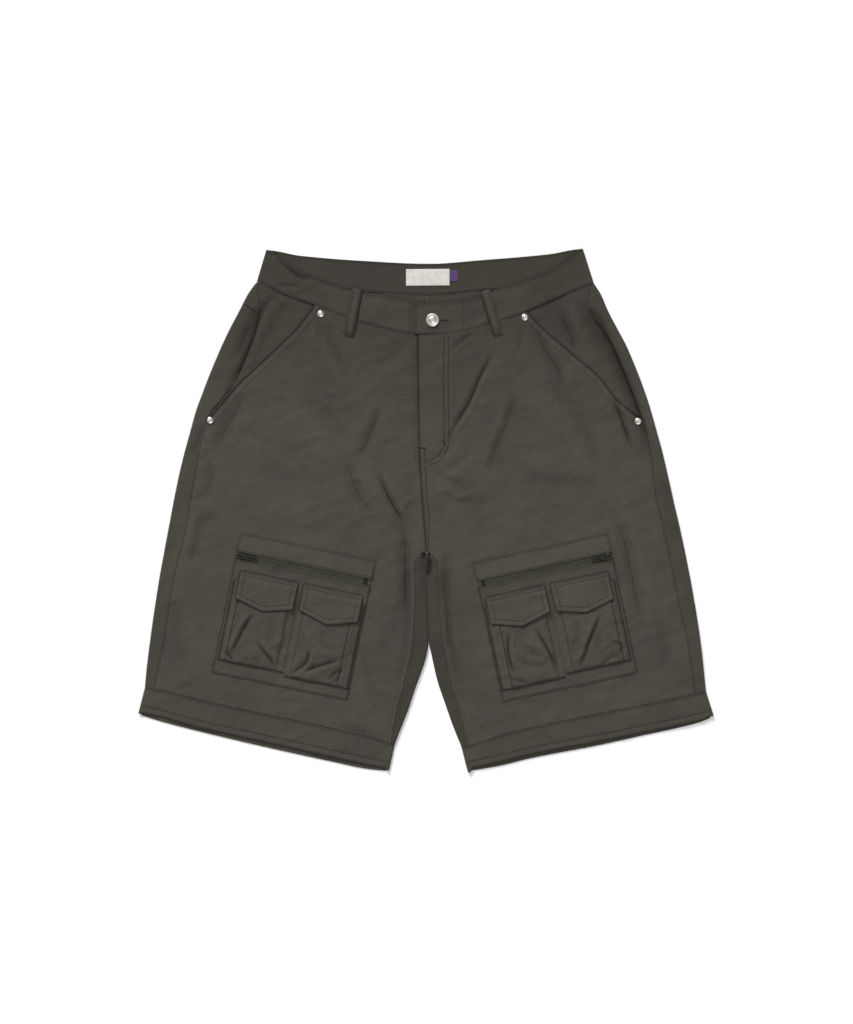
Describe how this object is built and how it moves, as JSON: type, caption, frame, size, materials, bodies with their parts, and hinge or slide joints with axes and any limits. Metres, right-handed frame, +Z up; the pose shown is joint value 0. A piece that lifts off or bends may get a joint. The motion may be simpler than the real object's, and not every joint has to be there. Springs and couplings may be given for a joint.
{
  "type": "convertible trousers in shorts form",
  "caption": "Cargo trousers in their shorts form, laid flat: slanted pockets, button waistband, hem bands and a zipped bellows pocket unit on each leg.",
  "frame": {"origin": "on the floor, below the middle of the whole garment", "axes": "+X towards the wearer's left, +Y from the hems to the waist, +Z up out of the front, the back lies on the floor"},
  "size_m": [0.749, 0.681, 0.0133],
  "materials": {
    "cloth": "matte",
    "zip_tape": "matte",
    "label": "matte",
    "size_tab": "matte",
    "zip_metal": "satin",
    "nickel": "polished"
  },
  "bodies": {
    "garment": {"back_right": "cloth", "back_left": "cloth", "front_right": "cloth", "front_left": "cloth", "hip_facing_right": "cloth", "hip_facing_left": "cloth", "waistband_front_right": "cloth", "waistband_front_left": "cloth", "hem_band_right": "cloth", "hem_band_left": "cloth", "cargo_top_strip_right": "cloth", "cargo_top_strip_left": "cloth", "cargo_patch_right": "cloth", "cargo_patch_left": "cloth", "bag_outer_right": "cloth", "bag_outer_left": "cloth", "bag_inner_right": "cloth", "bag_inner_left": "cloth", "flap_outer_right": "cloth", "flap_outer_left": "cloth", "flap_inner_right": "cloth", "flap_inner_left": "cloth", "belt_loop_right": "cloth", "belt_loop_left": "cloth", "waistband_back": "cloth", "zip_tape_right": "zip_tape", "zip_tape_left": "zip_tape", "zip_slider_right": "zip_metal", "zip_slider_left": "zip_metal", "zip_stop_right": "zip_metal", "zip_stop_left": "zip_metal", "tack_button": "nickel", "rivet_upper_right": "nickel", "rivet_upper_left": "nickel", "rivet_lower_right": "nickel", "rivet_lower_left": "nickel", "waist_label": "label", "size_tab": "size_tab"},
    "pull_right": {"zip_pull_right": "zip_metal"},
    "pull_left": {"zip_pull_left": "zip_metal"}
  },
  "joints": [
    {"name": "pull_right_hinge", "type": "hinge", "parent": "garment", "child": "pull_right", "pos_m": [-0.24051, -0.05851, 0.0109], "axis": [-0.2011, -0.9796, 0], "range_deg": [0, 180]},
    {"name": "pull_left_hinge", "type": "hinge", "parent": "garment", "child": "pull_left", "pos_m": [0.23578, -0.05952, 0.0109], "axis": [-0.2096, 0.9778, 0], "range_deg": [0, 180]}
  ]
}
